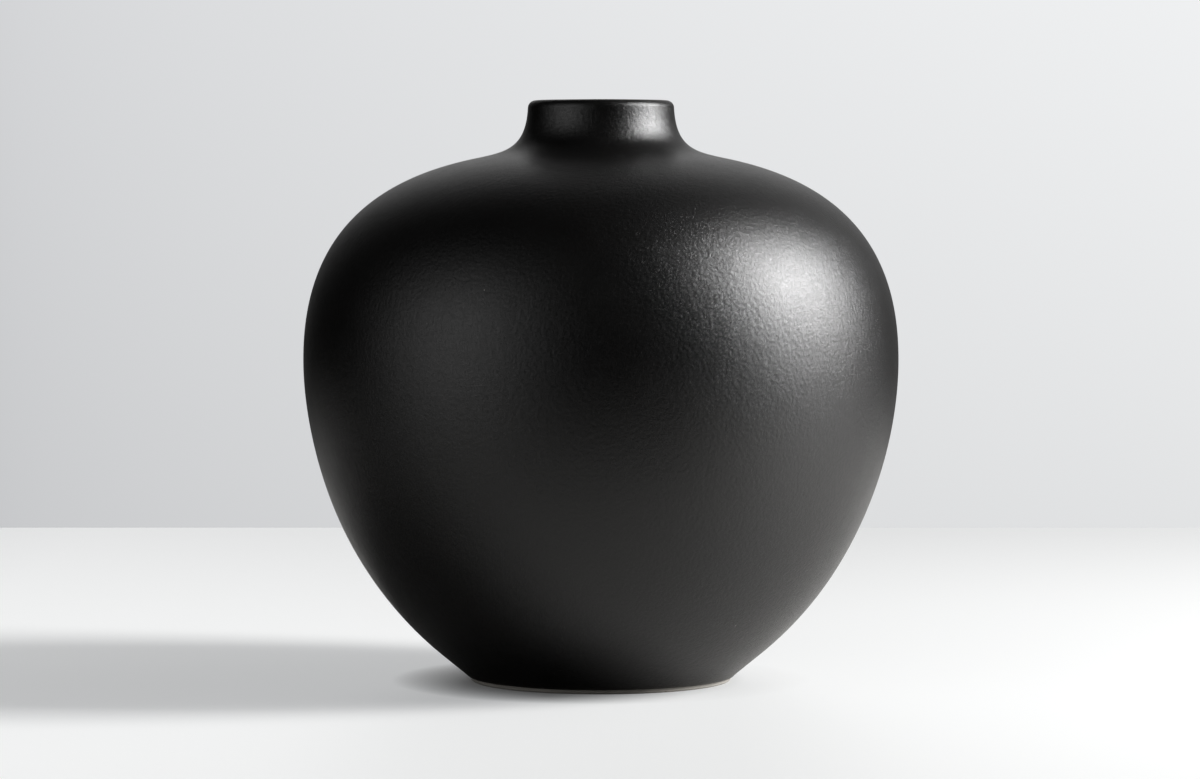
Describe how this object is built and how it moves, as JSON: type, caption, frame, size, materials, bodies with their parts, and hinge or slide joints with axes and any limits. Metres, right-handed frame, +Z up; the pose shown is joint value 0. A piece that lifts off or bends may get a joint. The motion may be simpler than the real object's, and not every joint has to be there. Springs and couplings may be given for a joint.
{
  "type": "vase",
  "caption": "Round-bellied pale clay vase with a satin black glaze, a short neck, a soft rounded rim and a small bare foot ring. It stands free and holds water or stems.",
  "frame": {"origin": "centre of the standing face of the foot ring", "axes": "+Z up along the vase's axis of revolution, from the foot to the rim; X and Y are alike"},
  "size_m": [0.246, 0.246, 0.24],
  "materials": {
    "satin_black_glaze": "satin, sprayed, with a fine orange-peel grain",
    "liner_glaze": "poured liner glaze, semi-gloss",
    "buff_clay": "bare fired clay, fine sand grain, matt",
    "joint_slip": "fired slip, matt"
  },
  "bodies": {
    "root": {"foot_ring": "buff_clay", "foot_seam": "joint_slip", "base_slab": "buff_clay", "base_seam": "joint_slip", "lower_body": "buff_clay", "belly_seam": "joint_slip", "upper_body": "buff_clay", "neck_seam": "joint_slip", "neck_collar": "buff_clay", "outer_glaze": "satin_black_glaze", "inner_glaze": "liner_glaze", "recess_glaze": "satin_black_glaze"}
  },
  "joints": []
}
